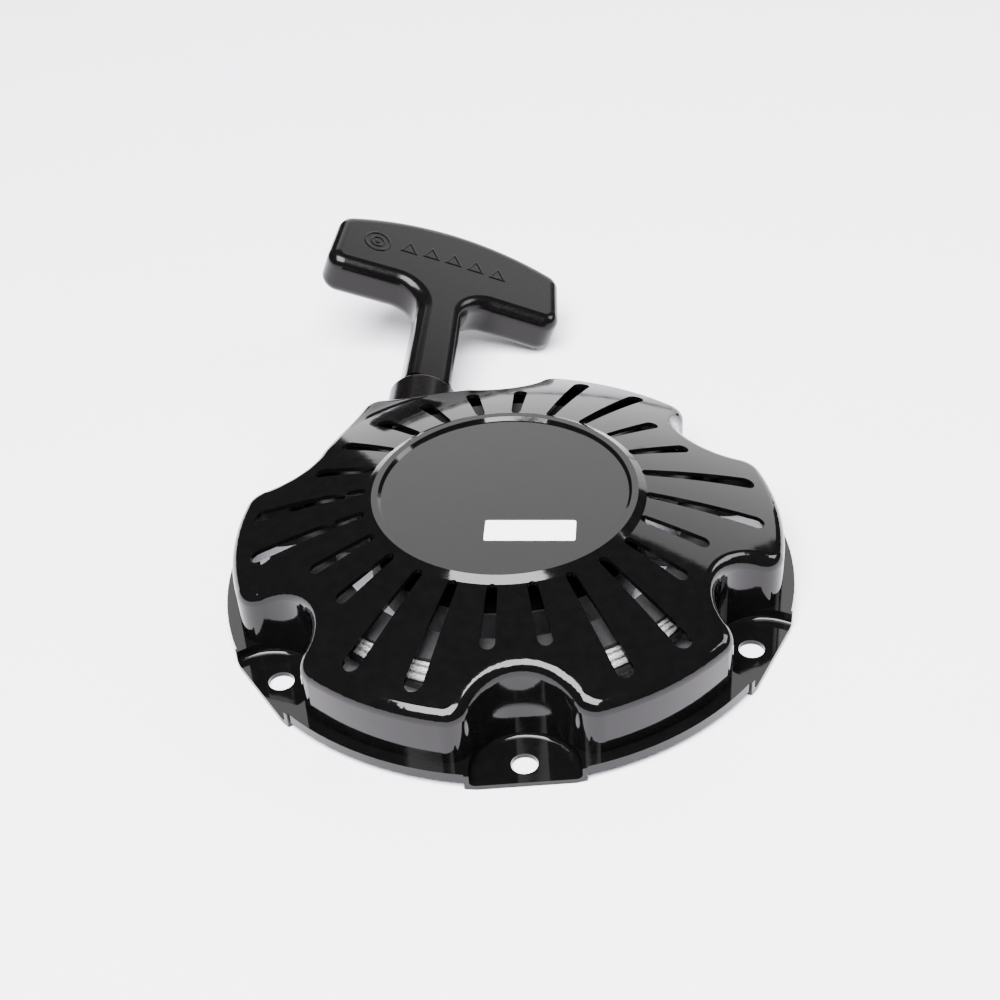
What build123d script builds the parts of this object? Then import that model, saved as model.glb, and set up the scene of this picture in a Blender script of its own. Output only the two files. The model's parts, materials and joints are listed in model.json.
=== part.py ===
"""Recoil starter for a small engine: a pressed steel housing with a rope reel, its spring and pawls inside.

Millimetres, +Z up along the starter's axis. The origin is the centre of the bolt circle, on the plane of the
tabs' undersides. The rope leaves towards +Y, and pulling it turns the reel clockwise seen from above.
"""

import os
from math import asin, atan2, cos, degrees, hypot, pi, radians, sin, sqrt, tan

from build123d import *

os.makedirs("parts", exist_ok=True)


def save(piece, label):
    """Names a finished piece and writes it to its own file."""
    piece.part.label = label
    export_step(piece.part, f"parts/{label}.step")


def polar(radius, angle):
    """A point in plan, from its distance to the axis and its angle in degrees."""
    return (radius * cos(radians(angle)), radius * sin(radians(angle)))


# ---- Driving dimensions: housing ----
CLEAR = 5.0                 # cutting solids run on past the part by this much
SHEET = 1.6                 # steel thickness
BODY_R = 94.5               # outer face of the lobes
DISC_R = 42.0               # recessed disc in the middle of the roof
DISC_Z = 39.6               # top of that disc
RING_Z = 40.8               # top of the ring around it
RING_FROM = 43.0
RING_TO = 45.2
DOME = [(48.0, 39.1), (71.2, 32.6), (97.0, 23.2)]   # three points of the roof's long arc
SLOPE_SHARE = 1.04          # the sheet measured plumb, through the sloping roof
SHOULDER_R = 5.0            # rounding between roof and walls
LOBE_CORNER_R = 8.5
SIX = [-150 + 60 * k for k in range(6)]             # directions of the bolt bays
BOLT_CIRCLE_R = 90.0
BOLT_HOLE_R = 4.3
BAY_AT = 95.0               # centre of each bay's round end
BAY_R = 17.5
TAB_CHORD = 98.0            # straight outer edge of the mounting tabs
TAB_R = 99.2                # their corners end on this circle
TAB_SHEET = 1.6
FLOOR_FILLET_R = 1.4
LAP = 0.03                  # the tabs' walls stand this far off the body's faces, so that they join cleanly
FLANGE_Z = 5.5              # top of the flange under the lobes
FLANGE_R = 95.8
LIP_R = 98.6                # outside of the turned-down lip
LIP_Z = 2.0
SLOT_COUNT = 24
SLOT_FROM = 47.7
SLOT_LONG = 87.7
SLOT_SHORT = 71.2
SLOT_INNER_W = 3.4
SLOT_OUTER_W = 6.0
SLOT_BASE_Z = 18.0          # the slots are cut from here up
NEAR_BAY = 10.0             # slots this many degrees from a bay end short
HANDLE_LOBE = 120           # the lobe with the flat wall that the rope leaves through
WALL_Y = 80.0               # outer face of that wall
WALL_CORNER = (-48.5, 80.0)
WALL_SIDE = (-61.0, 53.0)
WALL_START = (-5.0, 80.0)
BEYOND_WALL = [(-80, 50), (-60, 112), (-5, 112)]    # rounds off the area cut away outside the flat walls
WALL_RUN_ON = 11.5          # its side wall goes on this far past WALL_SIDE
LEVEL_FROM = 0.64           # that lobe's roof levels out from this share of the dome's arc
VALLEY_R = 21.0

# ---- Driving dimensions: reel and rope ----
ROPE_R = 1.75
ROPE_PITCH = 3.55
TURNS = 3
WRAP_R = 70.0               # centre line of the wound rope
REEL_R = 72.0
REEL_Z = (12.0, 26.6)
GROOVE_Z = (14.5, 25.2)
WEB_TOP = 14.5
RIM_INNER_R = 59.5
POCKET_R = 41.0             # spring pocket
POCKET_OUTER_R = 47.5
POCKET_TOP = 26.0
POST_R = 11.0
POST_STEP_Z = 14.8          # the post narrows here to the bearing that carries the reel
BEARING_R = 7.0
BEARING_END_Z = 8.7
RUNNING_GAP = 0.05
HUB_R = 12.0
HUB_Z = 9.0

# ---- Driving dimensions: pawls and their guide plate ----
PIVOT_AT = 24.0
PIVOT_R = 2.5
PAWL_Z = (6.5, 10.2)
PAWL_EYE_R = 4.6
PAWL_NECK_R = 3.0
PAWL_TIP = [(9, -2.6), (16.8, -1.2), (18, 0.6), (17.4, 2.6), (14.6, 3.2), (9, 3.6)]
PAWL_REST = 10.0            # arm's angle outwards from square, in degrees
PAWL_SWING = 30.0
PIN_AT = 9.0
PIN_R = 1.5
PIN_PLAY = 0.3
PLATE_R = 34.5
PLATE_Z = (4.4, 6.0)
SHOULDER_SCREW_R = 4.5
LIGHTENING_AT = 21.0        # two round holes through the plate
LIGHTENING_R = 5.5
SLOT_STEPS = 5              # straight pieces in each curved slot

# ---- Driving dimensions: rope guide and handle ----
MOUTH = Vector(-28.2, 95.0, 16.0)   # where the rope leaves the guide
YAW = 8.4                   # the rope's pull leans this much towards +X
PITCH = 10.0                # and this much upwards
ROLL = 21.2                 # the handle lies turned on its rope
COLLAR_R = 13.3
NECK_R = 7.0
BORE_R = 3.9
STEM_GAP = 3.4
STEM_HALF = 9.6
HANDLE_HALF = 50.0
HANDLE_THICK = 18.5
ARM_LOW = 53.8
ARM_HIGH = 82.6
ARCH = 92.4
TIP_R = 7.0
ARMPIT_R = 11.0
HANDLE_EDGE_R = 5.0

pull_plane = Plane(Location(MOUTH) * Rotation(0, 0, -YAW) * Rotation(PITCH, 0, 0))
handle_plane = Plane(Location(MOUTH) * Rotation(0, 0, -YAW) * Rotation(PITCH, 0, 0) * Rotation(0, ROLL, 0))
PULL = pull_plane.y_dir


def along(distance):
    """A point on the pull line, from the guide's mouth."""
    return MOUTH + PULL * distance


print("pull direction", [round(c, 6) for c in PULL])


# ---- Housing ----
def roof_profile(drop, levels_out):
    """Half section of the domed roof and all below it; drop moves it inwards by the sheet's thickness.

    A roof that levels_out leaves the dome before the wall and ends flat.
    """
    with BuildSketch(Plane.XZ, mode=Mode.PRIVATE) as section:
        with BuildLine():
            inner, middle, outer = [(r, z - drop) for r, z in DOME]
            step_foot = DISC_R - 0.8 * drop / SHEET
            Polyline((0, 0), (0, DISC_Z - drop), (step_foot, DISC_Z - drop), (RING_FROM, RING_Z - drop),
                     (RING_TO, RING_Z - drop), inner)
            if levels_out:
                dome = ThreePointArc(inner, middle, outer, mode=Mode.PRIVATE).trim(0, LEVEL_FROM)
                add(dome)
                slope = dome % 1
                valley = JernArc(dome @ 1, slope, VALLEY_R, degrees(atan2(-slope.Y, slope.X)))
                outer = (outer[0], (valley @ 1).Y)
                Line(valley @ 1, outer)
            else:
                ThreePointArc(inner, middle, outer)
            Polyline(outer, (outer[0], 0), (0, 0))
        make_face()
    return section.sketch


def domed_roof(drop):
    """Solid of everything under the roof. Its outside levels out in the sector of the rope's lobe."""
    sectors = [(0, 360, False)] if drop else [(HANDLE_LOBE + 30, 300, False), (HANDLE_LOBE - 30, 60, True)]
    with BuildPart(mode=Mode.PRIVATE) as dome:
        for first, sweep, levels_out in sectors:
            with BuildSketch(Plane.XZ.rotated((0, 0, first))):
                add(roof_profile(drop, levels_out))
            revolve(axis=Axis.Z, revolution_arc=sweep)
    return dome.part


def on_roof(seam):
    """True for an edge that runs across the roof at one distance from the axis."""
    radii = [hypot((seam @ t).X, (seam @ t).Y) for t in (0, 0.5, 1)]
    return max(radii) - min(radii) < 0.05 and radii[0] < BODY_R - 2 * SHEET


def lobed_body(inset, bottom):
    """Solid of the lobed body, with a rounded shoulder; inset moves every face inwards."""
    side = (Vector(*WALL_CORNER) - Vector(*WALL_SIDE)).normalized()
    side_end = Vector(*WALL_SIDE) - side * WALL_RUN_ON
    with BuildPart(mode=Mode.PRIVATE) as body:
        with BuildSketch(Plane.XY.offset(bottom)):
            Circle(BODY_R - inset)
            for angle in SIX:
                with Locations(polar(BAY_AT, angle)):
                    Circle(BAY_R + inset, mode=Mode.SUBTRACT)
                with Locations(Location((*polar(BAY_AT + BAY_R, angle), 0), (0, 0, angle))):
                    Rectangle(2 * BAY_R, 2 * (BAY_R + inset), mode=Mode.SUBTRACT)
            with BuildSketch(Plane.XY.offset(bottom), mode=Mode.SUBTRACT):
                with BuildLine():
                    Polyline(WALL_START, WALL_CORNER, side_end, *BEYOND_WALL, close=True)
                make_face()
                if inset:
                    offset(amount=inset, kind=Kind.INTERSECTION)
        extrude(amount=RING_Z + CLEAR)
        corners = body.edges().filter_by(Axis.Z)
        corners = corners.filter_by(lambda e: hypot(e.center().X, e.center().Y) > BAY_AT - BAY_R)
        fillet(corners, LOBE_CORNER_R - inset)
        add(domed_roof(SLOPE_SHARE * inset), mode=Mode.INTERSECT)
        shoulder = body.edges().filter_by(lambda e: 20 < e.center().Z < 33)
        shoulder = shoulder.filter_by(lambda e: hypot(e.center().X, e.center().Y) > WRAP_R and not on_roof(e))
        fillet(shoulder, SHOULDER_R - inset)
    return body.part


def bay_plan(inset, reach):
    """Plan of one bolt bay: a round end and straight sides, inset from the body's wall, out to reach."""
    for angle in SIX:
        with Locations(polar(BAY_AT, angle)):
            Circle(BAY_R + inset)
        middle = (BAY_AT + reach) / 2
        with Locations(Location((*polar(middle, angle), 0), (0, 0, angle))):
            Rectangle(reach - BAY_AT, 2 * (BAY_R + inset))


def flange():
    """Narrow flange under the lobes, with its turned-down lip, cut away at the bays."""
    with BuildPart(mode=Mode.PRIVATE) as ring:
        with BuildSketch(Plane.XY.offset(FLANGE_Z - SHEET)):
            Circle(FLANGE_R)
        extrude(amount=SHEET)
        with BuildSketch(Plane.XZ):
            with BuildLine():
                Polyline((FLANGE_R - 1, FLANGE_Z), (LIP_R, FLANGE_Z), (LIP_R, LIP_Z), (LIP_R - SHEET, LIP_Z),
                         (LIP_R - SHEET, FLANGE_Z - SHEET), (FLANGE_R - 1, FLANGE_Z - SHEET), close=True)
            section = make_face()
            edge = section.vertices().filter_by(lambda v: abs(v.X - LIP_R) < 0.01 and v.Z > FLANGE_Z - 0.01)
            fillet(edge, SHEET * 1.3)
        revolve(axis=Axis.Z)
        with BuildSketch():
            bay_plan(SHEET / 2, LIP_R + CLEAR)
        extrude(amount=FLANGE_Z + CLEAR, mode=Mode.SUBTRACT)
        add(lobed_body(SHEET / 2, 0), mode=Mode.SUBTRACT)
    return ring.part


def mounting_tabs():
    """The six bay floors with their upright edges, down on the seating plane, each with its bolt hole."""
    with BuildPart(mode=Mode.PRIVATE) as tabs:
        with BuildSketch():
            bay_plan(SHEET - LAP, TAB_CHORD)
            RegularPolygon(TAB_CHORD, 6, major_radius=False, mode=Mode.INTERSECT)
            Circle(TAB_R, mode=Mode.INTERSECT)
        extrude(amount=FLANGE_Z)
        with BuildSketch(Plane.XY.offset(TAB_SHEET)):
            bay_plan(-LAP, TAB_CHORD + CLEAR)
        extrude(amount=FLANGE_Z, mode=Mode.SUBTRACT)
        floor_edges = tabs.edges().filter_by(lambda e: abs(e.center().Z - TAB_SHEET) < 0.01)
        floor_edges = floor_edges.filter_by(lambda e: max((e @ t).Z for t in (0, 1)) < TAB_SHEET + 0.01)
        rounded = floor_edges.filter_by(lambda e: hypot(e.center().X, e.center().Y) < TAB_CHORD - 0.5)
        fillet(rounded, FLOOR_FILLET_R)
        with Locations(*[(*polar(BOLT_CIRCLE_R, angle), 0) for angle in SIX]):
            Cylinder(BOLT_HOLE_R, 2 * CLEAR, mode=Mode.SUBTRACT)
    return tabs.part


def near_bay(angle):
    """True for a slot that ends short, at a bay or in the lobe of the rope."""
    return min(abs((angle - place + 180) % 360 - 180) for place in (*SIX, HANDLE_LOBE)) < NEAR_BAY


GUIDE_HOLE = along(-17.0) - Vector(0.9, 0, 0)       # centre of the guide's neck, just inside the wall

with BuildPart() as housing:
    add(lobed_body(0, FLANGE_Z - SHEET))
    add(lobed_body(SHEET, 0), mode=Mode.SUBTRACT)
    add(flange())
    add(mounting_tabs())
    for k in range(SLOT_COUNT):
        angle = SIX[1] + 360 / SLOT_COUNT * (k - 0.5)
        end = SLOT_SHORT if near_bay(angle) else SLOT_LONG
        wide = SLOT_INNER_W + (SLOT_OUTER_W - SLOT_INNER_W) * (end - SLOT_FROM) / (SLOT_LONG - SLOT_FROM)
        with BuildSketch(Plane.XY.offset(SLOT_BASE_Z)):
            with Locations(polar(SLOT_FROM + SLOT_INNER_W / 2, angle)):
                Circle(SLOT_INNER_W / 2)
            with Locations(polar(end - wide / 2, angle)):
                Circle(wide / 2)
            make_hull()
        extrude(amount=RING_Z, mode=Mode.SUBTRACT)
    with BuildSketch(Plane(origin=(GUIDE_HOLE.X, WALL_Y + CLEAR, GUIDE_HOLE.Z), z_dir=(0, -1, 0))):
        Circle(NECK_R + RUNNING_GAP)
    extrude(amount=2 * CLEAR, mode=Mode.SUBTRACT)
save(housing, "housing")

LABEL_AT = (7.3, -22.0)
LABEL_TURN = -6.3
LABEL_SIZE = (30.0, 10.6)
FILM = 0.12

with BuildPart() as label:
    with BuildSketch(Plane(Location((*LABEL_AT, DISC_Z), (0, 0, LABEL_TURN)))):
        RectangleRounded(*LABEL_SIZE, 0.8)
    extrude(amount=FILM)
save(label, "label")

# ---- Centre post and what hangs on it ----
POST_TOP = DISC_Z - SLOPE_SHARE * SHEET
POST_FLANGE_R = 15.0
SPRING_Z = (15.1, 24.6)
STRIP = 0.6
SPRING_IN = POST_R + 0.4
SPRING_PITCH = 2.38
HALF_TURNS = 24
WASHER_Z = (7.5, BEARING_END_Z)
HEAD_Z = (1.6, 4.1)
THREAD_R = 3.0
THREAD_PLAY = 0.1
THREAD_LENGTH = 16.0
HEAD_R = 8.0
HEX_R = 3.0
HEX_DEPTH = 1.8
TAIL = 5.4                  # the spring's inner end reaches this far into the post
HOOK = 4.0                  # and its outer end this far into the reel
STRIP_PLAY = 0.35

with BuildPart() as centre_post:
    with BuildSketch(Plane.XZ):
        with BuildLine():
            Polyline((0, POST_TOP), (POST_FLANGE_R, POST_TOP), (POST_FLANGE_R, POST_TOP - SHEET),
                     (POST_R, POST_TOP - SHEET), (POST_R, POST_STEP_Z), (BEARING_R, POST_STEP_Z),
                     (BEARING_R, BEARING_END_Z), (0, BEARING_END_Z), close=True)
        make_face()
    revolve(axis=Axis.Z)
    with Locations((0, 0, BEARING_END_Z)):
        upwards = (Align.CENTER, Align.CENTER, Align.MIN)
        Cylinder(THREAD_R, THREAD_LENGTH + 2, align=upwards, mode=Mode.SUBTRACT)
    with Locations((SPRING_IN - TAIL - 0.8, -STRIP - STRIP_PLAY, POST_STEP_Z)):
        slot_high = SPRING_Z[1] - POST_STEP_Z + 1.2
        Box(TAIL + 2.6, STRIP + 2 * STRIP_PLAY, slot_high, align=Align.MIN, mode=Mode.SUBTRACT)
save(centre_post, "centre_post")

with BuildPart() as thrust_washer:
    with BuildSketch(Plane.XY.offset(WASHER_Z[0])):
        Circle(POST_R)
        Circle(THREAD_R + THREAD_PLAY, mode=Mode.SUBTRACT)
    extrude(amount=WASHER_Z[1] - WASHER_Z[0])
save(thrust_washer, "thrust_washer")

with BuildPart() as centre_screw:
    with BuildSketch(Plane.XY.offset(HEAD_Z[0])):
        Circle(HEAD_R)
    extrude(amount=HEAD_Z[1] - HEAD_Z[0])
    chamfer(centre_screw.edges().group_by(Axis.Z)[0], 0.5)
    with BuildSketch(Plane.XY.offset(HEAD_Z[1])):
        Circle(SHOULDER_SCREW_R)
    extrude(amount=WASHER_Z[0] - HEAD_Z[1])
    with BuildSketch(Plane.XY.offset(WASHER_Z[0])):
        Circle(THREAD_R - THREAD_PLAY)
    extrude(amount=THREAD_LENGTH)
    with BuildSketch(Plane.XY.offset(HEAD_Z[0])):
        RegularPolygon(HEX_R, 6)
    extrude(amount=HEX_DEPTH, mode=Mode.SUBTRACT)
save(centre_screw, "centre_screw")

FRICTION_RING_R = 7.4
FRICTION_WIRE_R = 0.6

with BuildPart() as friction_spring:
    with BuildSketch(Plane.XZ):
        with Locations((FRICTION_RING_R, (WASHER_Z[0] + PLATE_Z[1]) / 2)):
            Circle(FRICTION_WIRE_R)
    revolve(axis=Axis.Z, revolution_arc=330)
save(friction_spring, "friction_spring")

# ---- Rope guide in the flat wall ----
PATH_START = 23.0           # the modelled lead starts this far along its tangent, clear of the coil
BEND_AT = -15.2             # the lead meets the pull line here
COLLAR_FROM = -24.0         # the collar is drawn from here and cut off at the wall
SEAT_FROM = -1.9            # recess for the ferrule's rim
SEAT_R = 6.1
HOLE_R = ROPE_R + 0.8       # what the rope runs through
FUNNEL = (9.0, 5.6)         # length and wide end of the opening towards the reel
CLIP_THICK = 1.4
CLIP_WIDE = 2.3
bend = along(BEND_AT)


def tangent_point(target):
    """Where a straight rope to target leaves the coil, on the side that turns clockwise when pulled."""
    reach = hypot(target.X, target.Y)
    angle = degrees(atan2(target.Y, target.X)) + degrees(asin(sqrt(1 - (WRAP_R / reach) ** 2)))
    return Vector(*polar(WRAP_R, angle), GROOVE_Z[0] + ROPE_R + 0.05)


leave = tangent_point(bend)
run_in = (bend - leave).normalized()
print("rope leaves the coil at", leave, "run", (bend - leave).length)

with BuildPart() as rope_guide:
    with BuildSketch(Plane(origin=along(COLLAR_FROM), z_dir=PULL)):
        Circle(COLLAR_R)
    extrude(amount=-COLLAR_FROM)
    fillet(rope_guide.edges().sort_by(Axis(MOUTH, PULL))[-1], 0.9)
    with Locations((MOUTH.X, WALL_Y + 0.02, 0)):
        Box(80, 60, 80, align=(Align.CENTER, Align.MAX, Align.CENTER), mode=Mode.SUBTRACT)
        Box(80, 80, 2 * (FLANGE_Z + 0.1), mode=Mode.SUBTRACT)
    with BuildSketch(Plane(origin=(GUIDE_HOLE.X, WALL_Y + 1, GUIDE_HOLE.Z), z_dir=(0, -1, 0))):
        Circle(NECK_R)
    extrude(amount=6)
    with BuildSketch(Plane(origin=along(COLLAR_FROM - CLEAR), z_dir=PULL)):
        Circle(BORE_R)
    extrude(amount=2 * CLEAR - COLLAR_FROM, mode=Mode.SUBTRACT)
    with BuildSketch(Plane(origin=along(SEAT_FROM), z_dir=PULL)):
        Circle(SEAT_R)
    extrude(amount=CLEAR, mode=Mode.SUBTRACT)
    with BuildSketch(Plane(origin=bend, z_dir=-run_in)):
        Circle(HOLE_R)
    with BuildSketch(Plane(origin=bend - run_in * FUNNEL[0], z_dir=-run_in)):
        Circle(FUNNEL[1])
    loft(mode=Mode.SUBTRACT)
save(rope_guide, "rope_guide")

with BuildPart() as guide_clip:
    with BuildSketch(Plane(origin=(GUIDE_HOLE.X, WALL_Y - SHEET - 0.3, GUIDE_HOLE.Z), z_dir=(0, -1, 0))):
        Circle(NECK_R + CLIP_WIDE)
        Circle(NECK_R + RUNNING_GAP, mode=Mode.SUBTRACT)
        with Locations((0, -NECK_R - 1)):
            Rectangle(2.5, 4, mode=Mode.SUBTRACT)
    extrude(amount=CLIP_THICK)
save(guide_clip, "guide_clip")

with BuildPart() as guide_ferrule:
    with BuildSketch(Plane(origin=along(-8.8), z_dir=PULL)):
        Circle(BORE_R - RUNNING_GAP)
    extrude(amount=8.4)
    with BuildSketch(Plane(origin=along(SEAT_FROM + 0.1), z_dir=PULL)):
        Circle(SEAT_R - 0.1)
    extrude(amount=1.4)
    with BuildSketch(Plane(origin=along(-10), z_dir=PULL)):
        Circle(HOLE_R)
    extrude(amount=12, mode=Mode.SUBTRACT)
    fillet(guide_ferrule.edges().group_by(Axis(MOUTH, PULL))[-1], 0.6)
save(guide_ferrule, "guide_ferrule")

# ---- Reel ----
SPOKES = 6
SPOKE_WIDE = 5.0
RIB_WIDE = 3.2
RIB_HIGH = 8.0
KNOT_ANGLE = 20.0
KNOT_Z = GROOVE_Z[1] - ROPE_R - 0.1
SCREW_ANGLES = [30, 150, 270]
SCREW_AT = 44.3
SCREW_R = 1.5
SCREW_LENGTH = 7.0
SCREW_HEAD_R = 2.8
SCREW_HEAD = 1.7
CROSS = (3.4, 0.8)          # length and width of the cross recess
COVER_Z = (POCKET_TOP, POCKET_TOP + 0.8)
GROOVE_R = WRAP_R - ROPE_R

with BuildPart() as reel:
    with BuildSketch(Plane.XZ):
        with BuildLine():
            bore = BEARING_R + RUNNING_GAP
            Polyline((bore, HUB_Z), (HUB_R, HUB_Z), (HUB_R, REEL_Z[0]), (REEL_R, REEL_Z[0]),
                     (REEL_R, GROOVE_Z[0]), (GROOVE_R, GROOVE_Z[0]), (GROOVE_R, GROOVE_Z[1]),
                     (REEL_R, GROOVE_Z[1]), (REEL_R, REEL_Z[1]), (RIM_INNER_R, REEL_Z[1]),
                     (RIM_INNER_R, WEB_TOP), (POCKET_OUTER_R, WEB_TOP), (POCKET_OUTER_R, POCKET_TOP),
                     (POCKET_R, POCKET_TOP), (POCKET_R, WEB_TOP), (bore, WEB_TOP), close=True)
        make_face()
    revolve(axis=Axis.Z)
    with BuildSketch(Plane.XY.offset(REEL_Z[0] - 1)):
        Circle(RIM_INNER_R)
        Circle(POCKET_OUTER_R, mode=Mode.SUBTRACT)
        with PolarLocations((RIM_INNER_R + POCKET_OUTER_R) / 2, SPOKES, start_angle=KNOT_ANGLE + 30):
            Rectangle(20, SPOKE_WIDE, mode=Mode.SUBTRACT)
    extrude(amount=REEL_Z[1], mode=Mode.SUBTRACT)
    with BuildSketch(Plane.XY.offset(WEB_TOP)):
        with PolarLocations((RIM_INNER_R + POCKET_OUTER_R) / 2, SPOKES, start_angle=KNOT_ANGLE + 30):
            Rectangle(RIM_INNER_R - POCKET_OUTER_R + 1, RIB_WIDE)
    extrude(amount=RIB_HIGH)
    with PolarLocations(PIVOT_AT, 2):
        with Locations((0, 0, REEL_Z[0] + 0.5)):
            Cylinder(PIVOT_R, REEL_Z[0] + 0.25 - PLATE_Z[1], align=(Align.CENTER, Align.CENTER, Align.MAX))
    with Locations((POCKET_R - 1, -0.3, WEB_TOP)):
        Box(HOOK + 0.6, STRIP + 0.6, 20, align=Align.MIN, mode=Mode.SUBTRACT)
    with Locations(*[(*polar(SCREW_AT, angle), POCKET_TOP) for angle in SCREW_ANGLES]):
        Cylinder(SCREW_R - THREAD_PLAY, 2 * SCREW_LENGTH, mode=Mode.SUBTRACT)
    hole_plane = Plane(origin=(*polar(RIM_INNER_R - 1, KNOT_ANGLE), KNOT_Z), z_dir=(*polar(1, KNOT_ANGLE), 0))
    with BuildSketch(hole_plane):
        Circle(ROPE_R + 0.05)
    extrude(amount=12, mode=Mode.SUBTRACT)
save(reel, "reel")

with BuildPart() as spring_cover:
    with BuildSketch(Plane.XY.offset(COVER_Z[0])):
        Circle(POCKET_OUTER_R - 0.5)
        Circle(POST_R + 2.5, mode=Mode.SUBTRACT)
        with Locations(*[polar(SCREW_AT, angle) for angle in SCREW_ANGLES]):
            Circle(SCREW_R + 0.2, mode=Mode.SUBTRACT)
    extrude(amount=COVER_Z[1] - COVER_Z[0])
save(spring_cover, "spring_cover")

with BuildPart() as spring_cover_screws:
    for angle in SCREW_ANGLES:
        spot = polar(SCREW_AT, angle)
        with BuildSketch(Plane(origin=(*spot, COVER_Z[1]))):
            Circle(SCREW_HEAD_R)
        extrude(amount=SCREW_HEAD)
        with BuildSketch(Plane(origin=(*spot, COVER_Z[1] - SCREW_LENGTH))):
            Circle(SCREW_R - THREAD_PLAY)
        extrude(amount=SCREW_LENGTH)
        with BuildSketch(Plane(origin=(*spot, COVER_Z[1] + SCREW_HEAD / 2))):
            Rectangle(*CROSS)
            Rectangle(*reversed(CROSS))
        extrude(amount=SCREW_HEAD, mode=Mode.SUBTRACT)
save(spring_cover_screws, "spring_cover_screws")


def spiral_arcs(extra):
    """One side of the spring strip: half circles that grow by half a pitch each."""
    for k in range(HALF_TURNS):
        radius = SPRING_IN + k * SPRING_PITCH / 2 + extra
        shift = SPRING_PITCH / 2 * (k % 2)
        way = 1 if k % 2 == 0 else -1
        ThreePointArc((shift + way * radius, 0), (shift, way * radius), (shift - way * radius, 0))


SPRING_OUT = SPRING_IN + HALF_TURNS * SPRING_PITCH / 2
with BuildPart() as recoil_spring:
    with BuildSketch(Plane.XY.offset(SPRING_Z[0])):
        with BuildLine():
            spiral_arcs(0)
            spiral_arcs(STRIP)
            Line((SPRING_IN, 0), (SPRING_IN + STRIP, 0))
            Line((SPRING_OUT, 0), (SPRING_OUT + STRIP, 0))
        make_face()
        with Locations((SPRING_IN - TAIL, -STRIP)):
            Rectangle(TAIL + STRIP, STRIP, align=Align.MIN)
        with Locations((SPRING_OUT, 0)):
            Rectangle(HOOK, STRIP, align=Align.MIN)
    extrude(amount=SPRING_Z[1] - SPRING_Z[0])
save(recoil_spring, "recoil_spring")

# ---- Rope ----
with BuildPart() as rope_coil:
    with BuildSketch(Plane.XZ):
        for turn in range(TURNS):
            with Locations((WRAP_R, GROOVE_Z[0] + ROPE_R + 0.05 + turn * ROPE_PITCH)):
                Circle(ROPE_R - 0.02)
        low = GROOVE_Z[0] + 0.05 + ROPE_R
        with Locations((WRAP_R - ROPE_R / 2, low)):
            Rectangle(ROPE_R - 0.1, ROPE_PITCH * (TURNS - 1), align=(Align.CENTER, Align.MIN))
    revolve(axis=Axis.Z)
save(rope_coil, "rope_coil")


def knot(centre, direction, radius, tail, tail_radius):
    """A round knot with the rope's straight end going on from it along direction."""
    axis_plane = Plane(origin=centre, x_dir=direction, z_dir=direction.cross(Vector(0.1, 0.2, 1)))
    with BuildPart(mode=Mode.PRIVATE) as lump:
        with BuildSketch(axis_plane):
            Circle(radius)
            with Locations(((radius + tail) / 2, 0)):
                Rectangle(radius + tail, 2 * tail_radius)
            with Locations((0, -radius)):
                Rectangle(4 * (radius + tail), 2 * radius, mode=Mode.SUBTRACT)
        revolve(axis=Axis(centre, direction))
    return lump.part


REEL_KNOT_R = 3.2
knot_out = Vector(*polar(1, KNOT_ANGLE), 0)
with BuildPart() as reel_knot:
    centre = knot_out * (RIM_INNER_R - REEL_KNOT_R - 0.1) + Vector(0, 0, KNOT_Z)
    add(knot(centre, knot_out, REEL_KNOT_R, GROOVE_R - RIM_INNER_R, ROPE_R))
save(reel_knot, "reel_knot")

KNOT_SEAT = 71.2            # the rope's knot sits on its washer, this far up the handle
start = leave + run_in * PATH_START
lead_end = along(KNOT_SEAT - 0.05)
lead_radius = 0.45 * (bend - start).length / tan(radians(PULL.get_angle(run_in)) / 2)
print("lead: bend radius", round(lead_radius, 1))
with BuildPart() as rope_lead:
    with BuildLine() as lead_path:
        FilletPolyline(start, bend, lead_end, radius=lead_radius)
    with BuildSketch(Plane(origin=start, z_dir=run_in)):
        Circle(ROPE_R)
    sweep()
save(rope_lead, "rope_lead")
lead_length = lead_path.wires()[0].length
print("lead length", round(lead_length, 1), "share", rope_lead.part.volume / (pi * ROPE_R ** 2 * lead_length))


# ---- Pawls, their springs and the plate that guides them ----
def pawl_plane(pivot_angle, height):
    """Plane at a pawl's pivot, with X along its arm and Y outwards."""
    arm = polar(1, pivot_angle - 90 + PAWL_REST)
    return Plane(origin=(*polar(PIVOT_AT, pivot_angle), height), x_dir=(*arm, 0), z_dir=(0, 0, 1))


def pin_in_plate(share, pivot_angle):
    """Centre of a pawl's pin as the guide plate sees it, when both have turned by share of the swing."""
    arm_angle = -90 + PAWL_REST + PAWL_SWING * share
    pin = Vector(PIVOT_AT, 0) + Vector(*polar(PIN_AT, arm_angle))
    return pin.rotate(Axis.Z, pivot_angle - PAWL_SWING * share)


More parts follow.
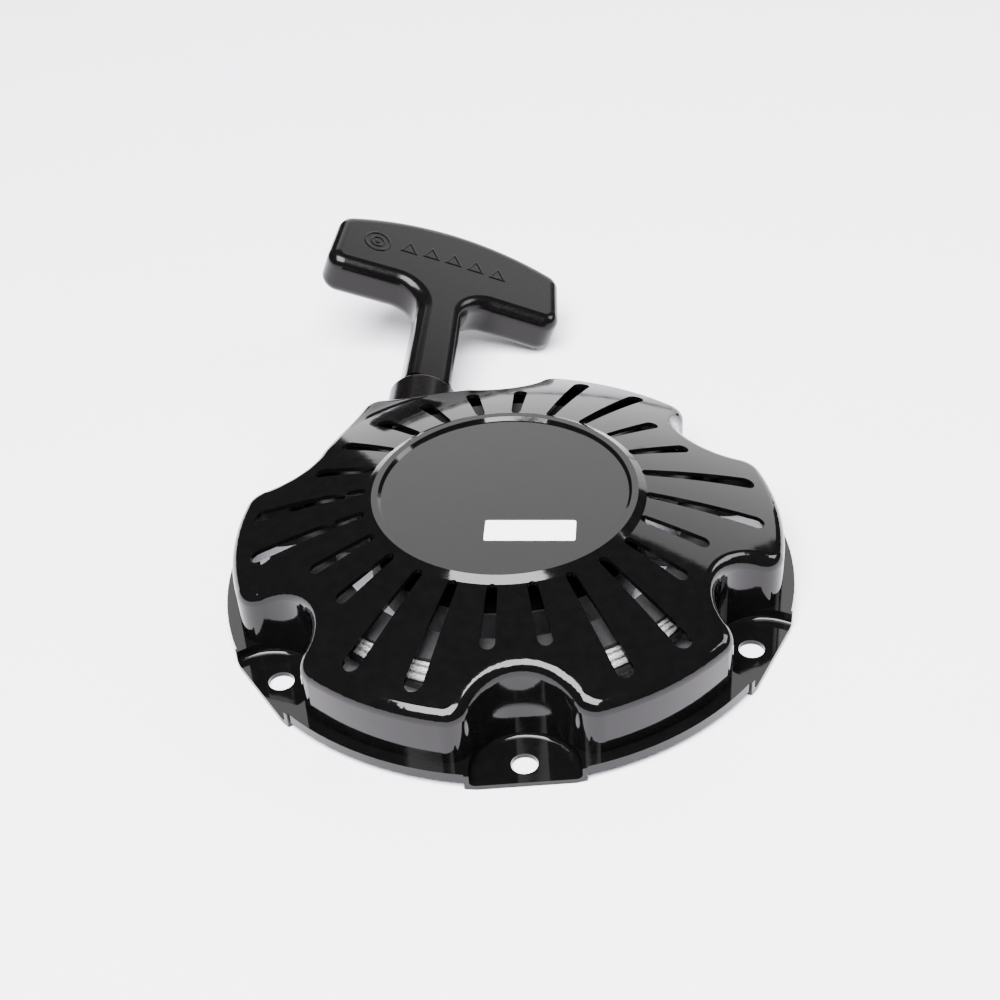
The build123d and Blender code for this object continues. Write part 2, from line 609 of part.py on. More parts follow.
WIRE_R = 0.35
COIL_R = PIVOT_R + 0.9
COIL_PITCH = 0.62
LEG = 8.0
for number, pivot_angle in ((1, 0), (2, 180)):
    with BuildPart() as pawl:
        with BuildSketch(pawl_plane(pivot_angle, PAWL_Z[0])):
            Circle(PAWL_EYE_R)
            with Locations((11, 0.4)):
                Circle(PAWL_NECK_R)
            make_hull()
            with BuildLine():
                Polyline(*PAWL_TIP, close=True)
            make_face()
            Circle(PIVOT_R + RUNNING_GAP, mode=Mode.SUBTRACT)
        extrude(amount=PAWL_Z[1] - PAWL_Z[0])
        with BuildSketch(pawl_plane(pivot_angle, PLATE_Z[0] - 0.3)):
            with Locations((PIN_AT, 0)):
                Circle(PIN_R)
        extrude(amount=PAWL_Z[0] - PLATE_Z[0] + 0.5)
    save(pawl, f"pawl_{number}")

    with BuildPart() as pawl_spring:
        spring_plane = pawl_plane(pivot_angle, PAWL_Z[1] + 0.2 + WIRE_R)
        with Locations(spring_plane):
            Torus(COIL_R, WIRE_R)
            with Locations((0, 0, COIL_PITCH)):
                Torus(COIL_R, WIRE_R)
        for lift, way in ((0, 1), (COIL_PITCH, -1)):
            foot = spring_plane.origin - spring_plane.y_dir * COIL_R + Vector(0, 0, lift)
            with BuildSketch(Plane(origin=foot, z_dir=spring_plane.x_dir * way)):
                Rectangle(2 * WIRE_R - 0.06, 2 * WIRE_R - 0.06)
            extrude(amount=LEG)
    save(pawl_spring, f"pawl_spring_{number}")

with BuildPart() as ratchet_guide:
    with BuildSketch(Plane.XY.offset(PLATE_Z[0])):
        Circle(PLATE_R)
        Circle(SHOULDER_SCREW_R + RUNNING_GAP, mode=Mode.SUBTRACT)
        with PolarLocations(LIGHTENING_AT, 2, start_angle=70):
            Circle(LIGHTENING_R, mode=Mode.SUBTRACT)
    extrude(amount=PLATE_Z[1] - PLATE_Z[0])
    for pivot_angle in (0, 180):
        for step in range(SLOT_STEPS):
            with BuildSketch(Plane.XY.offset(PLATE_Z[0] - 1)):
                for share in (step / SLOT_STEPS, (step + 1) / SLOT_STEPS):
                    spot = pin_in_plate(share, pivot_angle)
                    with Locations((spot.X, spot.Y)):
                        Circle(PIN_R + PIN_PLAY)
                make_hull()
            extrude(amount=4, mode=Mode.SUBTRACT)
save(ratchet_guide, "ratchet_guide")


# ---- Handle ----
def handle_blank():
    """The T-shaped handle before it is bored: a flat stem and an arched bar, rounded all over."""
    with BuildPart(mode=Mode.PRIVATE) as blank:
        with BuildSketch(handle_plane.offset(-HANDLE_THICK / 2)):
            with BuildLine():
                Line((-STEM_HALF, STEM_GAP), (STEM_HALF, STEM_GAP))
                armpit = (STEM_HALF - 0.6, ARM_LOW)
                tip_low = (HANDLE_HALF, ARM_LOW - 1)
                tip_high = (HANDLE_HALF - 2.6, ARM_HIGH)
                Polyline((STEM_HALF, STEM_GAP), armpit, tip_low, tip_high)
                ThreePointArc(tip_high, (0, ARCH), (-tip_high[0], ARM_HIGH))
                Polyline((-tip_high[0], ARM_HIGH), (-tip_low[0], tip_low[1]), (-armpit[0], ARM_LOW),
                         (-STEM_HALF, STEM_GAP))
            make_face()
        extrude(amount=HANDLE_THICK)
        uprights = blank.edges().filter_by(Axis((0, 0, 0), handle_plane.z_dir))
        tips = [e for e in uprights if abs(handle_plane.to_local_coords(e.center()).X) > 2 * STEM_HALF]
        fillet(tips, TIP_R)
        uprights = blank.edges().filter_by(Axis((0, 0, 0), handle_plane.z_dir))
        reach = STEM_HALF - 0.3
        fillet([e for e in uprights if abs(handle_plane.to_local_coords(e.center()).X) < reach], ARMPIT_R)
        faces = blank.faces().filter_by(Axis((0, 0, 0), handle_plane.z_dir))
        rims = [e for face in faces for e in face.edges()]
        fillet([e for e in rims if handle_plane.to_local_coords(e.center()).Y > STEM_GAP + 1], HANDLE_EDGE_R)
    return blank.part


blank = handle_blank()
POCKET_KNOT_R = 5.6         # bore for the knot, closed by the plug
PLUG_FROM = 84.0
ROPE_PLAY = 0.55
WASHER_THICK = 1.05
with BuildPart() as handle:
    add(blank)
    with BuildSketch(Plane(origin=MOUTH, z_dir=PULL)):
        Circle(ROPE_R + ROPE_PLAY)
    extrude(amount=ARCH, mode=Mode.SUBTRACT)
    with BuildSketch(Plane(origin=along(KNOT_SEAT - 1.2), z_dir=PULL)):
        Circle(POCKET_KNOT_R)
    extrude(amount=ARCH, mode=Mode.SUBTRACT)
save(handle, "handle")

with BuildPart() as handle_plug:
    add(blank)
    with BuildSketch(Plane(origin=along(PLUG_FROM), z_dir=PULL)):
        Circle(POCKET_KNOT_R - 0.03)
    extrude(amount=20, mode=Mode.INTERSECT)
save(handle_plug, "handle_plug")

with BuildPart() as handle_washer:
    with BuildSketch(Plane(origin=along(KNOT_SEAT - 1.1), z_dir=PULL)):
        Circle(POCKET_KNOT_R - 0.2)
        Circle(ROPE_R + 0.25, mode=Mode.SUBTRACT)
    extrude(amount=WASHER_THICK)
save(handle_washer, "handle_washer")

HANDLE_KNOT_R = 4.0
with BuildPart() as handle_knot:
    add(knot(along(KNOT_SEAT + HANDLE_KNOT_R + 0.05), PULL, HANDLE_KNOT_R, 3.5, ROPE_R))
save(handle_knot, "handle_knot")
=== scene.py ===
# %% [markdown]
# # A recoil starter for a small engine
#
# The real thing is a pressed steel cover, painted glossy black, with a rope reel, a spring and two pawls
# inside. A T handle on the end of the rope sticks out of a plastic guide in the cover's side. The shapes come
# packed from the CAD model, so this lesson is about everything else: light, finishes, and the few pieces
# that are better made here, such as the wound rope.

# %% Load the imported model
import json
from math import atan2, cos, pi, radians, sin

import bpy
from mathutils import Matrix, Vector


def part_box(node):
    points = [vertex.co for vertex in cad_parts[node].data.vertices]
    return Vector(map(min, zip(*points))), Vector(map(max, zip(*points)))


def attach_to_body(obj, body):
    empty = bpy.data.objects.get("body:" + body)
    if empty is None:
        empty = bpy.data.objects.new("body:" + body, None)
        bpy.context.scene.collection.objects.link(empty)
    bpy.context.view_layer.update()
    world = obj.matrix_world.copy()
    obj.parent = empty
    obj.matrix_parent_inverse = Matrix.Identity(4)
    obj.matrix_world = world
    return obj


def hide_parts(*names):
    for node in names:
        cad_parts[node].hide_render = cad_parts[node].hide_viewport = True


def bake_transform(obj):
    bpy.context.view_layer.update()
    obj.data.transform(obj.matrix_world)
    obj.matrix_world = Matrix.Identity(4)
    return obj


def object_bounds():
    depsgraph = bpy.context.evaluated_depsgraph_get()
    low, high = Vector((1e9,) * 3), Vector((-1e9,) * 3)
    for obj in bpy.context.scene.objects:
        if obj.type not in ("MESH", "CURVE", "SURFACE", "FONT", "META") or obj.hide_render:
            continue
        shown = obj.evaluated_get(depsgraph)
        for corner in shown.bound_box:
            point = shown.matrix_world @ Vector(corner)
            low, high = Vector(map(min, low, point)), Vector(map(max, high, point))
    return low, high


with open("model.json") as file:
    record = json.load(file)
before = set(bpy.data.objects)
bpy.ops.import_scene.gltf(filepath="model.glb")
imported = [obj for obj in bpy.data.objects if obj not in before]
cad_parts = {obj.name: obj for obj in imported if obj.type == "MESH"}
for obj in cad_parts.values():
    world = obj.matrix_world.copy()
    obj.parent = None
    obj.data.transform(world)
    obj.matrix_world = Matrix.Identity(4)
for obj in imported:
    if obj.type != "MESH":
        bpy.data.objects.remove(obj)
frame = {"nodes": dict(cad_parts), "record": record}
CAD_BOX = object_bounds()
SLOT_OF = {row["node"]: row["material_slot"] for row in frame["record"]["subparts"]}
print("nodes", len(frame["nodes"]), "box", [[round(v, 4) for v in corner] for corner in CAD_BOX])

# %% [markdown]
# ## Camera
#
# The camera stands in front and looks down at the cover. Its place, its right and its up are given as
# numbers, and its back is square to both. The three directions are the columns of one matrix, its rotation.

# %% Set the camera
CAMERA_AT = Vector((-0.005639, -0.468358, 0.393593))
CAMERA_RIGHT = Vector((0.99767876, -0.04637308, -0.04986606))
CAMERA_UP = Vector((0.06777238, 0.60485764, 0.79344448))
LENS_MM = 62.52
SENSOR_MM = 36.0

camera_data = bpy.data.cameras.new("camera")
camera_data.lens = LENS_MM
camera_data.sensor_width = SENSOR_MM
camera = bpy.data.objects.new("camera", camera_data)
turn = Matrix((CAMERA_RIGHT, CAMERA_UP, CAMERA_RIGHT.cross(CAMERA_UP))).transposed()
camera.matrix_world = Matrix.Translation(CAMERA_AT) @ turn.to_4x4()
bpy.context.collection.objects.link(camera)
bpy.context.scene.camera = camera
print("camera at", [round(v, 3) for v in camera.location])


# %% [markdown]
# ## Working by hand, in code
#
# An operator acts on whatever is selected and active. These small helpers pick one piece, run what is needed
# and leave the piece at the origin with its place in its mesh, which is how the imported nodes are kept.

# %% Helpers for picking and finishing a piece
def deselect():
    """Leaves nothing selected, so that the next primitive comes alone."""
    for piece in bpy.context.selected_objects:
        piece.select_set(False)


def only(piece):
    """Selects one piece and makes it the active one."""
    deselect()
    piece.select_set(True)
    bpy.context.view_layer.objects.active = piece


def link(name, mesh):
    """Puts a mesh in the scene as a new piece."""
    piece = bpy.data.objects.new(name, mesh)
    bpy.context.collection.objects.link(piece)
    only(piece)
    return piece


def apply_modifier(piece, kind, **settings):
    """Adds one modifier, sets it and applies it."""
    only(piece)
    modifier = piece.modifiers.new(kind.lower(), kind)
    for key, value in settings.items():
        setattr(modifier, key, value)
    bpy.ops.object.modifier_apply(modifier=modifier.name)


def settle(piece):
    """Moves a piece's place and turn into its mesh."""
    only(piece)
    bpy.ops.object.transform_apply(location=True, rotation=True, scale=True)


def attach(piece, body):
    """Says which body a piece moves with."""
    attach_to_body(piece, body)
    print(piece.name, "on", body, len(piece.data.polygons), "faces")


# %% [markdown]
# ## Light
#
# Glossy black shows almost nothing of itself: what is seen on it is the room. A wide, weak panel behind fills
# the flat top with a soft grey. A strong one overhead and in front lights the floor and draws the pale lines
# along the rounded shoulders. A small one fills the right side. The floor is a plain pale sheet.

# %% Floor and lights
FLOOR_COLOUR = (0.86, 0.84, 0.89)
FLOOR_SIZE = 8.0
WORLD_COLOUR = (0.78, 0.75, 0.82, 1.0)
WORLD_STRENGTH = 0.07
FLOOR_DROP = 0.0003


def panel(name, place, aim, wide, high, watts, colour=(1.0, 0.98, 1.0)):
    """A flat soft box at place that shines towards aim."""
    data = bpy.data.lights.new(name, "AREA")
    data.shape = "RECTANGLE"
    data.size = wide
    data.size_y = high
    data.energy = watts
    data.color = colour
    light = bpy.data.objects.new(name, data)
    light.location = place
    light.rotation_euler = (Vector(aim) - Vector(place)).to_track_quat("-Z", "Y").to_euler()
    bpy.context.collection.objects.link(light)
    return light


deselect()
bpy.ops.mesh.primitive_plane_add(size=FLOOR_SIZE, location=(0, 0, CAD_BOX[0][2] - FLOOR_DROP))
floor = bpy.context.object
floor.name = "floor"

world = bpy.data.worlds.new("studio")
world.use_nodes = True
world.node_tree.nodes["Background"].inputs["Color"].default_value = WORLD_COLOUR
world.node_tree.nodes["Background"].inputs["Strength"].default_value = WORLD_STRENGTH
bpy.context.scene.world = world

panel("back_panel", (0.50, 2.35, 1.2), (0.0, 0.0, 0.6), 2.7, 2.4, 78)
panel("overhead", (-0.3, -0.95, 2.1), (0, 0, 0), 1.9, 1.6, 430)
panel("right_side", (1.9, 0.35, 1.2), (0, 0, 0), 0.8, 0.8, 30)


# %% [markdown]
# ## Effects that several finishes share
#
# Paint has a faint orange peel, moulded plastic a fine grain, spring steel a soft mottle. They are all noise
# at different sizes, so one node group makes them. It takes a place on the surface and gives a mask and a
# normal.

# %% The mottle group
def new_group(name, inputs, outputs):
    """An empty shader group with named sockets; sizes and amounts are floats."""
    group = bpy.data.node_groups.new(name, "ShaderNodeTree")
    for label, kind, value in inputs:
        socket = group.interface.new_socket(name=label, in_out="INPUT", socket_type=kind)
        if value is not None:
            socket.default_value = value
    for label, kind in outputs:
        group.interface.new_socket(name=label, in_out="OUTPUT", socket_type=kind)
    return group, group.nodes.new("NodeGroupInput"), group.nodes.new("NodeGroupOutput")


def maths(tree, operation, first, second=None):
    """A Math node on sockets or plain numbers; returns its output."""
    node = tree.nodes.new("ShaderNodeMath")
    node.operation = operation
    for slot, value in enumerate((first, second)):
        if value is None:
            continue
        if isinstance(value, (int, float)):
            node.inputs[slot].default_value = value
        else:
            tree.links.new(value, node.inputs[slot])
    return node.outputs[0]


def relief_outputs(group, into, out, height):
    """Sends a height out of a group twice: as it is, as the mask, and through a bump, as the normal."""
    bump = group.nodes.new("ShaderNodeBump")
    bump.inputs["Strength"].default_value = 1.0
    group.links.new(into.outputs["Depth"], bump.inputs["Distance"])
    group.links.new(height, bump.inputs["Height"])
    group.links.new(height, out.inputs["Mask"])
    group.links.new(bump.outputs["Normal"], out.inputs["Normal"])


mottle, into, out = new_group(
    "mottle",
    [("Place", "NodeSocketVector", None), ("Scale", "NodeSocketFloat", 400.0),
     ("Detail", "NodeSocketFloat", 3.0), ("Depth", "NodeSocketFloat", 0.0001)],
    [("Mask", "NodeSocketFloat"), ("Normal", "NodeSocketVector")])
noise = mottle.nodes.new("ShaderNodeTexNoise")
for name in ("Scale", "Detail"):
    mottle.links.new(into.outputs[name], noise.inputs[name])
mottle.links.new(into.outputs["Place"], noise.inputs["Vector"])
relief_outputs(mottle, into, out, noise.outputs["Fac"])
print("mottle nodes", len(mottle.nodes))

# %% [markdown]
# Turned steel shows fine rings. The rings group reads the distance from the starter's axis and draws noise
# along it, so the plate, the washer and the centre screw get marks that run round as a lathe leaves them.

# %% The rings group
rings, into, out = new_group(
    "rings",
    [("Place", "NodeSocketVector", None), ("Scale", "NodeSocketFloat", 2500.0),
     ("Depth", "NodeSocketFloat", 0.00002)],
    [("Mask", "NodeSocketFloat"), ("Normal", "NodeSocketVector")])
split = rings.nodes.new("ShaderNodeSeparateXYZ")
rings.links.new(into.outputs["Place"], split.inputs[0])
square_x = maths(rings, "MULTIPLY", split.outputs[0], split.outputs[0])
square_y = maths(rings, "MULTIPLY", split.outputs[1], split.outputs[1])
distance = maths(rings, "SQRT", maths(rings, "ADD", square_x, square_y))
line_noise = rings.nodes.new("ShaderNodeTexNoise")
line_noise.noise_dimensions = "1D"
rings.links.new(maths(rings, "MULTIPLY", distance, into.outputs["Scale"]), line_noise.inputs["W"])
line_noise.inputs["Scale"].default_value = 1.0
line_noise.inputs["Detail"].default_value = 4.0
relief_outputs(rings, into, out, line_noise.outputs["Fac"])
print("rings nodes", len(rings.nodes))

# %% [markdown]
# The rope is braided: strands run round it both ways and cross. Its pieces carry a UV map with millimetres
# along in U and turns around in V, so two slanted waves give the strands and finer ones the yarn in them.

# %% The braid group
BRAID_PITCH = 5.2           # millimetres along the rope for one whole wave
BRAID_STRANDS = 4
YARN_ALONG = 5.0            # the yarn's waves for each of the braid's, along the rope and around it
YARN_AROUND = 3.0
YARN_HEIGHT = 0.12

braid, into, out = new_group(
    "braid",
    [("Along", "NodeSocketVector", None), ("Depth", "NodeSocketFloat", 0.0002)],
    [("Mask", "NodeSocketFloat"), ("Normal", "NodeSocketVector")])
split = braid.nodes.new("ShaderNodeSeparateXYZ")
braid.links.new(into.outputs["Along"], split.inputs[0])
along_wave = maths(braid, "MULTIPLY", split.outputs[0], 2 * pi / BRAID_PITCH)
around_wave = maths(braid, "MULTIPLY", split.outputs[1], 2 * pi * BRAID_STRANDS)
left = maths(braid, "ABSOLUTE", maths(braid, "SINE", maths(braid, "ADD", along_wave, around_wave)))
right = maths(braid, "ABSOLUTE", maths(braid, "SINE", maths(braid, "SUBTRACT", along_wave, around_wave)))
strands = maths(braid, "MAXIMUM", left, right)
yarn_along = maths(braid, "MULTIPLY", along_wave, YARN_ALONG)
yarn_around = maths(braid, "MULTIPLY", around_wave, YARN_AROUND)
yarn_wave = maths(braid, "SINE", maths(braid, "ADD", yarn_along, yarn_around))
yarn = maths(braid, "MULTIPLY", yarn_wave, YARN_HEIGHT)
# This height also sets the rope's colour in its finish, so the gaps between strands and yarn are painted
# shade.
relief = maths(braid, "ADD", strands, yarn)
relief_outputs(braid, into, out, relief)
print("braid nodes", len(braid.nodes))


# %% [markdown]
# ## Finishes
#
# Each finish is one Principled shader. A group's mask moves its colour and roughness a little between two
# values, and the group's normal gives the fine relief. What is the same all over is set on the shader itself.

# %% A finish from a group and a few numbers
def finish(name, group, settings, dark, light, rough, **steady):
    """A material whose colour and roughness vary between two values by the group's mask."""
    material = bpy.data.materials.new(name)
    material.use_nodes = True
    tree = material.node_tree
    shader = tree.nodes["Principled BSDF"]
    place = tree.nodes.new("ShaderNodeTexCoord")
    effect = tree.nodes.new("ShaderNodeGroup")
    effect.node_tree = group
    for label, value in settings.items():
        effect.inputs[label].default_value = value
    by_uv = group is braid
    tree.links.new(place.outputs["UV" if by_uv else "Object"], effect.inputs["Along" if by_uv else "Place"])
    blend = tree.nodes.new("ShaderNodeMix")
    blend.data_type = "RGBA"
    tree.links.new(effect.outputs["Mask"], blend.inputs["Factor"])
    blend.inputs["A"].default_value = (*dark, 1)
    blend.inputs["B"].default_value = (*light, 1)
    tree.links.new(blend.outputs["Result"], shader.inputs["Base Color"])
    spread = tree.nodes.new("ShaderNodeMapRange")
    tree.links.new(effect.outputs["Mask"], spread.inputs["Value"])
    spread.inputs["From Min"].default_value = 0.25
    spread.inputs["From Max"].default_value = 0.75
    spread.inputs["To Min"].default_value = rough[0]
    spread.inputs["To Max"].default_value = rough[1]
    tree.links.new(spread.outputs["Result"], shader.inputs["Roughness"])
    tree.links.new(effect.outputs["Normal"], shader.inputs["Normal"])
    for label, value in steady.items():
        shader.inputs[label.replace("_", " ")].default_value = value
    material.diffuse_color = (*light, 1)
    return material


# %% The finishes by slot
FINISHES = {
    "black_gloss_paint": finish(
        "black_gloss_paint", mottle, {"Scale": 260.0, "Detail": 2.0, "Depth": 0.000012},
        (0.0012, 0.0012, 0.0012), (0.0024, 0.0024, 0.0024), (0.05, 0.085), Specular_IOR_Level=0.24),
    "label_stock": finish(
        "label_stock", mottle, {"Scale": 3000.0, "Detail": 4.0, "Depth": 0.00001},
        (0.83, 0.83, 0.84), (0.90, 0.90, 0.90), (0.35, 0.5)),
    "plated_steel": finish(
        "plated_steel", rings, {"Scale": 5000.0, "Depth": 0.000008},
        (0.50, 0.49, 0.46), (0.68, 0.67, 0.63), (0.22, 0.38), Metallic=1.0),
    "spring_steel": finish(
        "spring_steel", mottle, {"Scale": 900.0, "Detail": 5.0, "Depth": 0.00001},
        (0.20, 0.22, 0.26), (0.34, 0.36, 0.39), (0.25, 0.42), Metallic=1.0),
    "guide_plastic": finish(
        "guide_plastic", mottle, {"Scale": 1100.0, "Detail": 3.0, "Depth": 0.000006},
        (0.0012, 0.0011, 0.0011), (0.0026, 0.0024, 0.0024), (0.18, 0.28), Specular_IOR_Level=0.18),
    "handle_plastic": finish(
        "handle_plastic", mottle, {"Scale": 900.0, "Detail": 3.0, "Depth": 0.000006},
        (0.0012, 0.0011, 0.0011), (0.0026, 0.0024, 0.0024), (0.15, 0.23), Specular_IOR_Level=0.16),
    "reel_plastic": finish(
        "reel_plastic", mottle, {"Scale": 1400.0, "Detail": 4.0, "Depth": 0.00003},
        (0.012, 0.012, 0.013), (0.022, 0.022, 0.023), (0.28, 0.45)),
    "pawl_plastic": finish(
        "pawl_plastic", mottle, {"Scale": 2200.0, "Detail": 5.0, "Depth": 0.00003},
        (0.05, 0.05, 0.055), (0.10, 0.10, 0.105), (0.4, 0.6)),
    # Painted shade: the braid's relief darkens the rope's colour in the gaps between strands and yarn and
    # lightens their tops.
    "rope": finish(
        "rope", braid, {"Depth": 0.00018},
        (0.36, 0.35, 0.34), (0.78, 0.77, 0.75), (0.75, 0.95), Sheen_Weight=0.25),
    "studio_floor": finish(
        "studio_floor", mottle, {"Scale": 30.0, "Detail": 2.0, "Depth": 0.00001},
        FLOOR_COLOUR, FLOOR_COLOUR, (0.55, 0.65)),
}


def wear(piece, slot):
    """Gives a piece one finish all over."""
    piece.data.materials.clear()
    piece.data.materials.append(FINISHES[slot])


wear(floor, "studio_floor")
for node, slot in SLOT_OF.items():
    holder = frame["nodes"][node]
    for place in holder.material_slots:
        place.material = FINISHES[slot]
print("finishes", len(FINISHES))


# %% [markdown]
# ## The rope
#
# The rope is wound on the reel, leaves it along a tangent, bends once into the guide and runs up the middle
# of the handle to its knot. It is braided, so it is built as a tube whose skin really bulges at each strand.
# The wound turns lie one above the other. Each steps up between the knot and where the rope leaves.

# %% Measures of the rope, from the frame
RECORD_JOINTS = {joint["name"]: joint for joint in frame["record"]["behaviour"]["joints"]}
MOUTH = Vector(RECORD_JOINTS["handle_twist"]["pos_m"])
PULL = Vector(RECORD_JOINTS["handle_twist"]["axis"]).normalized()
ROPE_R = 0.00175
ROPE_EASE = 0.00001          # the tube is thinner than the rope by this much, to stay clear of its neighbours
WRAP_R = 0.070
COIL_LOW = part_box("rope_coil")[0][2] + ROPE_R
COIL_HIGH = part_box("rope_coil")[1][2] - ROPE_R
TURNS = 3


def along(distance):
    """A point on the pull line, from the guide's mouth."""
    return MOUTH + PULL * distance


BEND = along(-0.0152)
LEAVE_ANGLE = atan2(BEND.y, BEND.x) + atan2((BEND.xy.length_squared - WRAP_R ** 2) ** 0.5, WRAP_R)
LEAVE = Vector((WRAP_R * cos(LEAVE_ANGLE), WRAP_R * sin(LEAVE_ANGLE), COIL_LOW))
RUN_FLAT = Vector((sin(LEAVE_ANGLE), -cos(LEAVE_ANGLE), 0))
print("rope leaves the coil at", [round(v * 1000, 1) for v in LEAVE])


# %% A braided tube along a line of points
BRAID_BULGE = 0.00016
AROUND = 24


def thin_line(line, step):
    """The same line with points a step apart."""
    spaced = [line[0]]
    left_over = 0.0
    for first, second in zip(line, line[1:]):
        run = (second - first).length
        travelled = step - left_over
        while travelled <= run:
            spaced.append(first.lerp(second, travelled / run))
            travelled += step
        left_over = run - (travelled - step)
    spaced.append(line[-1])
    return spaced


def tube(name, line, radius, around, bulge=0.0):
    """A closed tube along a line, with millimetres along it in U and turns around it in V."""
    steps = [(b - a).normalized() for a, b in zip(line, line[1:])]
    tangents = [steps[0]] + [(a + b).normalized() for a, b in zip(steps, steps[1:])] + [steps[-1]]
    side = tangents[0].orthogonal().normalized()
    points, lengths, travelled = [], [], 0.0
    for index, (centre, tangent) in enumerate(zip(line, tangents)):
        side = (side - tangent * side.dot(tangent)).normalized()
        up = tangent.cross(side)
        if index:
            travelled += (centre - line[index - 1]).length
        lengths.append(travelled * 1000)
        for k in range(around):
            turn_share = k / around
            slant = 2 * pi * lengths[-1] / BRAID_PITCH
            spin = 2 * pi * BRAID_STRANDS * turn_share
            height = max(abs(sin(slant + spin)), abs(sin(slant - spin)))
            reach = radius - bulge + bulge * height
            angle = 2 * pi * turn_share
            points.append(centre + side * cos(angle) * reach + up * sin(angle) * reach)
    count = len(line)
    faces = []
    for ring in range(count - 1):
        for k in range(around):
            after = (k + 1) % around
            faces.append((ring * around + k, ring * around + after,
                          (ring + 1) * around + after, (ring + 1) * around + k))
    ends = [tuple(reversed(range(around))), tuple(range((count - 1) * around, count * around))]
    mesh = bpy.data.meshes.new(name)
    mesh.from_pydata(points, [], faces + ends)
    layer = mesh.uv_layers.new(name="along_and_around")
    for face in mesh.polygons[:len(faces)]:
        ring, k = divmod(face.index, around)
        corners = ((ring, k), (ring, k + 1), (ring + 1, k + 1), (ring + 1, k))
        for loop, (row, column) in zip(face.loop_indices, corners):
            layer.data[loop].uv = (lengths[row], column / around)
    mesh.update()
    piece = link(name, mesh)
    bpy.ops.object.shade_smooth()
    return piece


# %% The wound turns
KNOT_ANGLE = radians(20.0)
COIL_SPACING = 0.00055      # between the tube's rings
STEP_LENGTH = LEAVE_ANGLE - KNOT_ANGLE


def turn_height(angle):
    """Height of the wound rope: level for most of a turn, then up by one rope's width."""
    pitch = (COIL_HIGH - COIL_LOW) / (TURNS - 1)
    whole, part = divmod(angle - LEAVE_ANGLE, 2 * pi)
    level = 2 * pi - STEP_LENGTH
    share = max(0.0, (part - level) / STEP_LENGTH)
    ease = share * share * (3 - 2 * share)
    return COIL_LOW + pitch * (whole + ease)


COIL_END = KNOT_ANGLE + 2 * pi * TURNS
COIL_STEP = COIL_SPACING / WRAP_R
coil_count = int((COIL_END - LEAVE_ANGLE) / COIL_STEP)
coil_line = []
for index in range(coil_count + 1):
    angle = LEAVE_ANGLE + (COIL_END - LEAVE_ANGLE) * index / coil_count
    coil_line.append(Vector((WRAP_R * cos(angle), WRAP_R * sin(angle), turn_height(angle))))
wound_rope = tube("wound_rope", coil_line, ROPE_R - ROPE_EASE, AROUND, BRAID_BULGE)
wear(wound_rope, "rope")
attach(wound_rope, "reel")
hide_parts("rope_coil")

# %% [markdown]
# The lead is the same rope from the coil to the handle. Its route is a smooth spline with a few points as
# its controls, and the tube follows it.

# %% The lead
LEAD_STEP = 0.0005


def spline_points(route):
    """Points along the smooth curve that has the route's points as its controls."""
    curve = bpy.data.curves.new("route", "CURVE")
    curve.dimensions = "3D"
    curve.resolution_u = 24
    spline = curve.splines.new("NURBS")
    spline.points.add(len(route) - 1)
    for control, spot in zip(spline.points, route):
        control.co = (*spot, 1.0)
    spline.order_u = 3
    spline.use_endpoint_u = True
    holder = bpy.data.objects.new("route", curve)
    mesh = bpy.data.meshes.new_from_object(holder)
    points = [vertex.co.copy() for vertex in mesh.vertices]
    bpy.data.objects.remove(holder)
    bpy.data.curves.remove(curve)
    bpy.data.meshes.remove(mesh)
    return points


KNOT_SEAT = 0.0712
PATH_START = 0.023
run_in = (BEND - LEAVE).normalized()
lead_route = [LEAVE, LEAVE + RUN_FLAT * 0.017, LEAVE + run_in * PATH_START, BEND, along(-0.010), along(0.020),
              along(0.045), along(KNOT_SEAT - 0.00005)]
lead_line = thin_line(spline_points(lead_route), LEAD_STEP)
rope_run = tube("rope_run", lead_line, ROPE_R - ROPE_EASE, AROUND, BRAID_BULGE)
wear(rope_run, "rope")
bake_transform(rope_run)
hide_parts("rope_lead")
print("rope_run rings", len(lead_line))

# %% [markdown]
# ## The sign on the handle
#
# A moulded sign stands a little proud of the handle's face. Here it is a generic one: two rings with a dot
# and five arrowheads that point the way to pull. Each starts as a primitive and is shaped in edit mode. Then
# all are joined into one piece, which gets a small bevel.

# %% Place of the sign on the handle
ROLL = radians(21.2)
HANDLE_FACE = 0.00925
level_side = PULL.cross(Vector((0, 0, 1))).normalized()
level_up = level_side.cross(PULL)
handle_across = level_side * cos(ROLL) - level_up * sin(ROLL)
handle_out = handle_across.cross(PULL)
HANDLE_TURN = Matrix((handle_across, PULL, handle_out)).transposed().to_4x4()
SIGN_PROUD = 0.00035


def on_handle(x, y):
    """Matrix that lays a flat piece on the handle's face, x across and y along the pull."""
    spot = MOUTH + handle_across * x + PULL * y + handle_out * (HANDLE_FACE - SIGN_PROUD)
    return Matrix.Translation(spot) @ HANDLE_TURN


def raised(place, outline_r, inner_r, sides, name):
    """A disc inset to a frame, its middle removed, then pulled up; a whole disc where inner_r is 0."""
    deselect()
    bpy.ops.mesh.primitive_circle_add(vertices=sides, radius=outline_r, fill_type="NGON")
    mark = bpy.context.object
    mark.name = name
    bpy.ops.object.mode_set(mode="EDIT")
    bpy.ops.mesh.select_all(action="SELECT")
    if inner_r:
        bpy.ops.mesh.inset(thickness=(outline_r - inner_r) * cos(pi / sides))
        bpy.ops.mesh.delete(type="FACE")
    bpy.ops.mesh.select_all(action="SELECT")
    bpy.ops.mesh.extrude_region_move(TRANSFORM_OT_translate={"value": (0, 0, 2 * SIGN_PROUD)})
    bpy.ops.mesh.select_all(action="SELECT")
    bpy.ops.mesh.normals_make_consistent(inside=False)
    bpy.ops.object.mode_set(mode="OBJECT")
    mark.matrix_world = place
    settle(mark)
    return mark


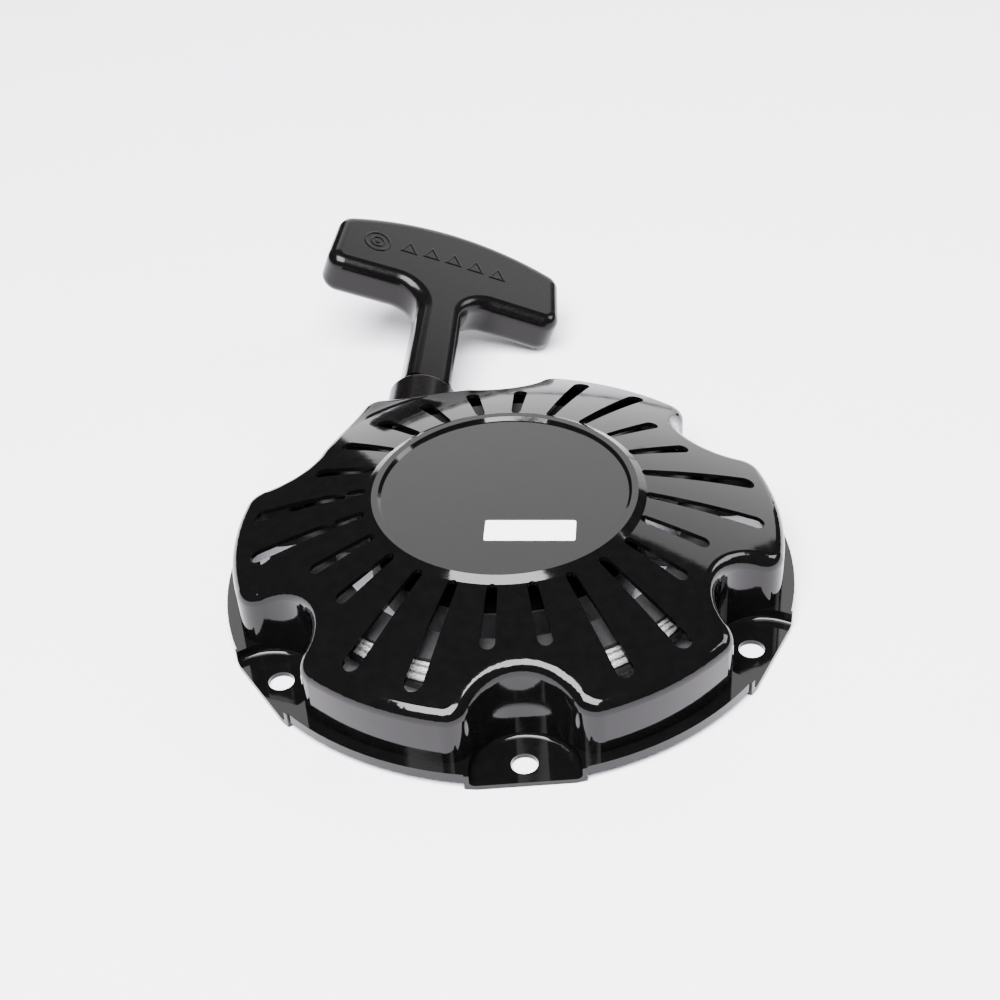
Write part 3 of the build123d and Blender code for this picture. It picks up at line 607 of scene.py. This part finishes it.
# %% Ring, dot and arrowheads
RING_PLACE = on_handle(-0.031, 0.0715)
ARROW_COUNT = 5
ARROW_FROM = -0.0175
ARROW_STEP = 0.0095
ARROW_LINE = 0.0730         # the arrowheads' height along the pull, in the middle of their row
ROW_SAG = -0.0020           # and how much the row falls, ROW_HALF to each side
ROW_HALF = 0.03
SIGN_BEVEL = 0.00015
marks = [raised(RING_PLACE, 0.0056, 0.0047, 32, "ring"),
         raised(RING_PLACE, 0.0030, 0.0022, 24, "inner_ring"),
         raised(RING_PLACE, 0.0010, 0.0, 16, "dot")]
for k in range(ARROW_COUNT):
    across = ARROW_FROM + ARROW_STEP * k
    rise = ROW_SAG * (across / ROW_HALF) ** 2
    marks.append(raised(on_handle(across, ARROW_LINE + rise), 0.0042, 0.0031, 3, "arrow"))
only(marks[0])
for mark in marks:
    mark.select_set(True)
bpy.ops.object.join()
handle_sign = bpy.context.object
handle_sign.name = "handle_sign"
apply_modifier(handle_sign, "BEVEL", width=SIGN_BEVEL, segments=2, limit_method="ANGLE")
wear(handle_sign, "handle_plastic")
attach(handle_sign, "handle")

# %% [markdown]
# ## Springs of the pawls
#
# Each pawl has a little torsion spring on its pivot: a few turns of wire and two straight legs. A wire is a
# tube as the rope is, without the strands.

# %% Two torsion springs
WIRE_R = 0.00030
SPRING_R = 0.0034
SPRING_LEG = 0.0065
SPRING_LEAN = radians(10.0)
SPRING_TURNS = 2.0 - 160.0 / 360.0
SPRING_STEPS = 96
WIRE_AROUND = 10
for number in (1, 2):
    pivot = Vector(RECORD_JOINTS[f"pawl_{number}_swing"]["pos_m"])
    low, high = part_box(f"pawl_spring_{number}")
    bottom = low[2] + WIRE_R
    rise = high[2] - low[2] - 2 * WIRE_R
    arm = atan2(-pivot.x, 0) + SPRING_LEAN
    first = arm - pi / 2
    wire = []
    for index in range(SPRING_STEPS + 1):
        share = index / SPRING_STEPS
        angle = first + 2 * pi * SPRING_TURNS * share
        wire.append(Vector((pivot.x + SPRING_R * cos(angle), SPRING_R * sin(angle), bottom + rise * share)))
    leg_in = Vector((sin(first), -cos(first), 0)) * SPRING_LEG
    last = first + 2 * pi * SPRING_TURNS
    leg_out = Vector((-sin(last), cos(last), 0)) * SPRING_LEG
    wire = [wire[0] + leg_in] + wire + [wire[-1] + leg_out]
    spring = tube(f"pawl_wire_{number}", wire, WIRE_R, WIRE_AROUND)
    wear(spring, "spring_steel")
    attach(spring, "reel")
    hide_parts(f"pawl_spring_{number}")
